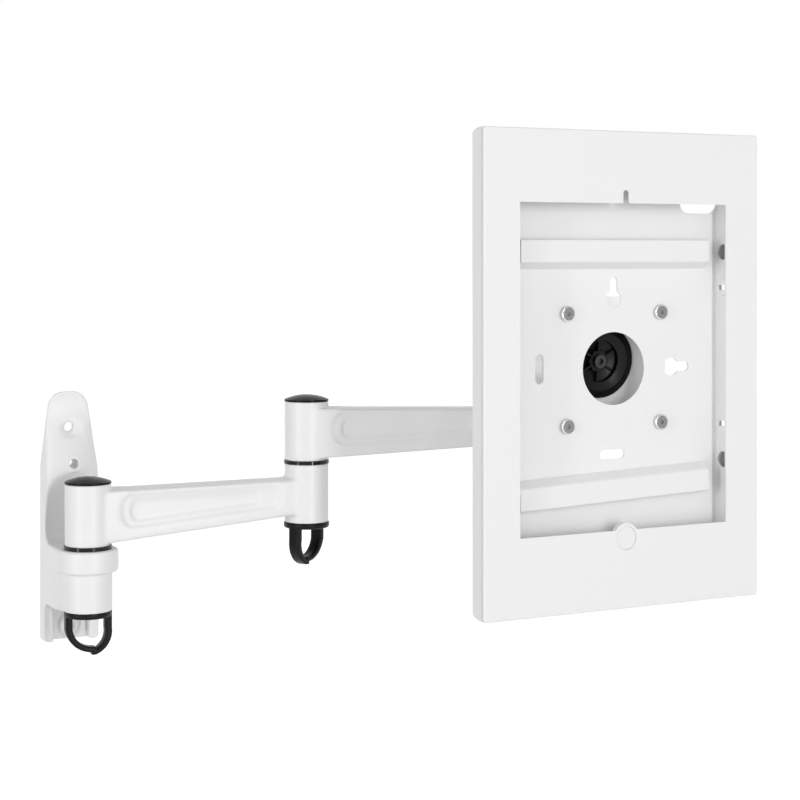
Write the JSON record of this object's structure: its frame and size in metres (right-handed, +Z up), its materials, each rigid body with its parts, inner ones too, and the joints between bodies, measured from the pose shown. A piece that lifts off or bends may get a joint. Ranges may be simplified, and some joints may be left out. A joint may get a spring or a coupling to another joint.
{
  "type": "tablet wall mount",
  "caption": "Wall mount with two swinging arms, a ball joint and a locking metal enclosure with a window for a tablet.",
  "frame": {"origin": "middle of the bracket's flat wall face", "axes": "+X right along the wall, +Y into the wall, +Z up; the enclosure's window faces -Y"},
  "size_m": [0.4358, 0.2647, 0.3606],
  "materials": {
    "white_casting": "smooth semi-gloss white powder coat on a casting",
    "white_sheet": "smooth semi-gloss white powder coat on steel sheet",
    "black_plastic": "black moulded plastic",
    "zinc_steel": "zinc plated",
    "black_steel": "black oxide",
    "bright_steel": "bright plated",
    "white_plastic": "white moulded plastic"
  },
  "bodies": {
    "wall_base": {"wall_bracket": "white_casting", "wall_pivot_bolt": "zinc_steel", "wall_lock_nut": "zinc_steel", "wall_flat_washer": "zinc_steel"},
    "first_arm": {"lower_arm": "white_casting", "wall_thrust_bush": "black_plastic", "wall_top_bush": "black_plastic", "wall_pivot_cap": "black_plastic", "elbow_pivot_bolt": "zinc_steel", "elbow_lock_nut": "zinc_steel", "elbow_flat_washer": "zinc_steel"},
    "second_arm": {"upper_arm": "white_casting", "elbow_thrust_bush": "black_plastic", "elbow_top_bush": "black_plastic", "elbow_pivot_cap": "black_plastic", "head_pivot_bolt": "zinc_steel", "head_lock_nut": "zinc_steel", "head_flat_washer": "zinc_steel", "head_plug": "black_plastic"},
    "head": {"head_knuckle": "white_casting", "head_thrust_bush": "black_plastic", "head_top_bush": "black_plastic", "head_pivot_cap": "black_plastic", "ball_washer": "black_plastic", "centre_screw": "black_steel"},
    "liner": {"ball_liner": "black_plastic"},
    "enclosure": {"vesa_plate": "white_sheet", "vesa_screws": "bright_steel", "vesa_nuts": "zinc_steel", "rear_tray": "white_sheet", "top_rail": "white_sheet", "bottom_rail": "white_sheet", "front_cover": "white_sheet", "button_housing": "white_plastic", "cover_nuts": "zinc_steel", "cover_screws": "bright_steel"},
    "button": {"home_button": "white_plastic"},
    "wall_hoop": {"wall_cable_hoop": "black_plastic"},
    "elbow_hoop": {"elbow_cable_hoop": "black_plastic"}
  },
  "joints": [
    {"name": "wall_swivel", "type": "hinge", "parent": "wall_base", "child": "first_arm", "pos_m": [0, -0.05, 0], "axis": [0, 0, 1], "range_deg": [-170, 8]},
    {"name": "elbow_swivel", "type": "hinge", "parent": "first_arm", "child": "second_arm", "pos_m": [0.16281, -0.05796, 0], "axis": [0, 0, -1], "range_deg": [-150, 95]},
    {"name": "head_swivel", "type": "hinge", "parent": "second_arm", "child": "head", "pos_m": [0.30368, -0.13995, 0], "axis": [0, 0, 1], "range_deg": [-50, 165]},
    {"name": "head_tilt", "type": "hinge", "parent": "head", "child": "liner", "pos_m": [0.30368, -0.27015, 0.1104], "axis": [1, 0, 0], "range_deg": [-9, 21]},
    {"name": "enclosure_roll", "type": "hinge", "parent": "liner", "child": "enclosure", "pos_m": [0.30368, -0.27015, 0.1104], "axis": [0, 1, 0], "continuous": true},
    {"name": "home_button_press", "type": "slide", "parent": "enclosure", "child": "button", "axis": [0, 1, 0], "range_m": [0, 0.0008], "stiffness_N_per_m": 900, "springref_m": -0.001},
    {"name": "wall_hoop_turn", "type": "hinge", "parent": "wall_base", "child": "wall_hoop", "pos_m": [0, -0.05, 0], "axis": [0, 0, 1], "continuous": true},
    {"name": "elbow_hoop_turn", "type": "hinge", "parent": "first_arm", "child": "elbow_hoop", "pos_m": [0.16281, -0.05796, 0], "axis": [0, 0, 1], "continuous": true}
  ]
}
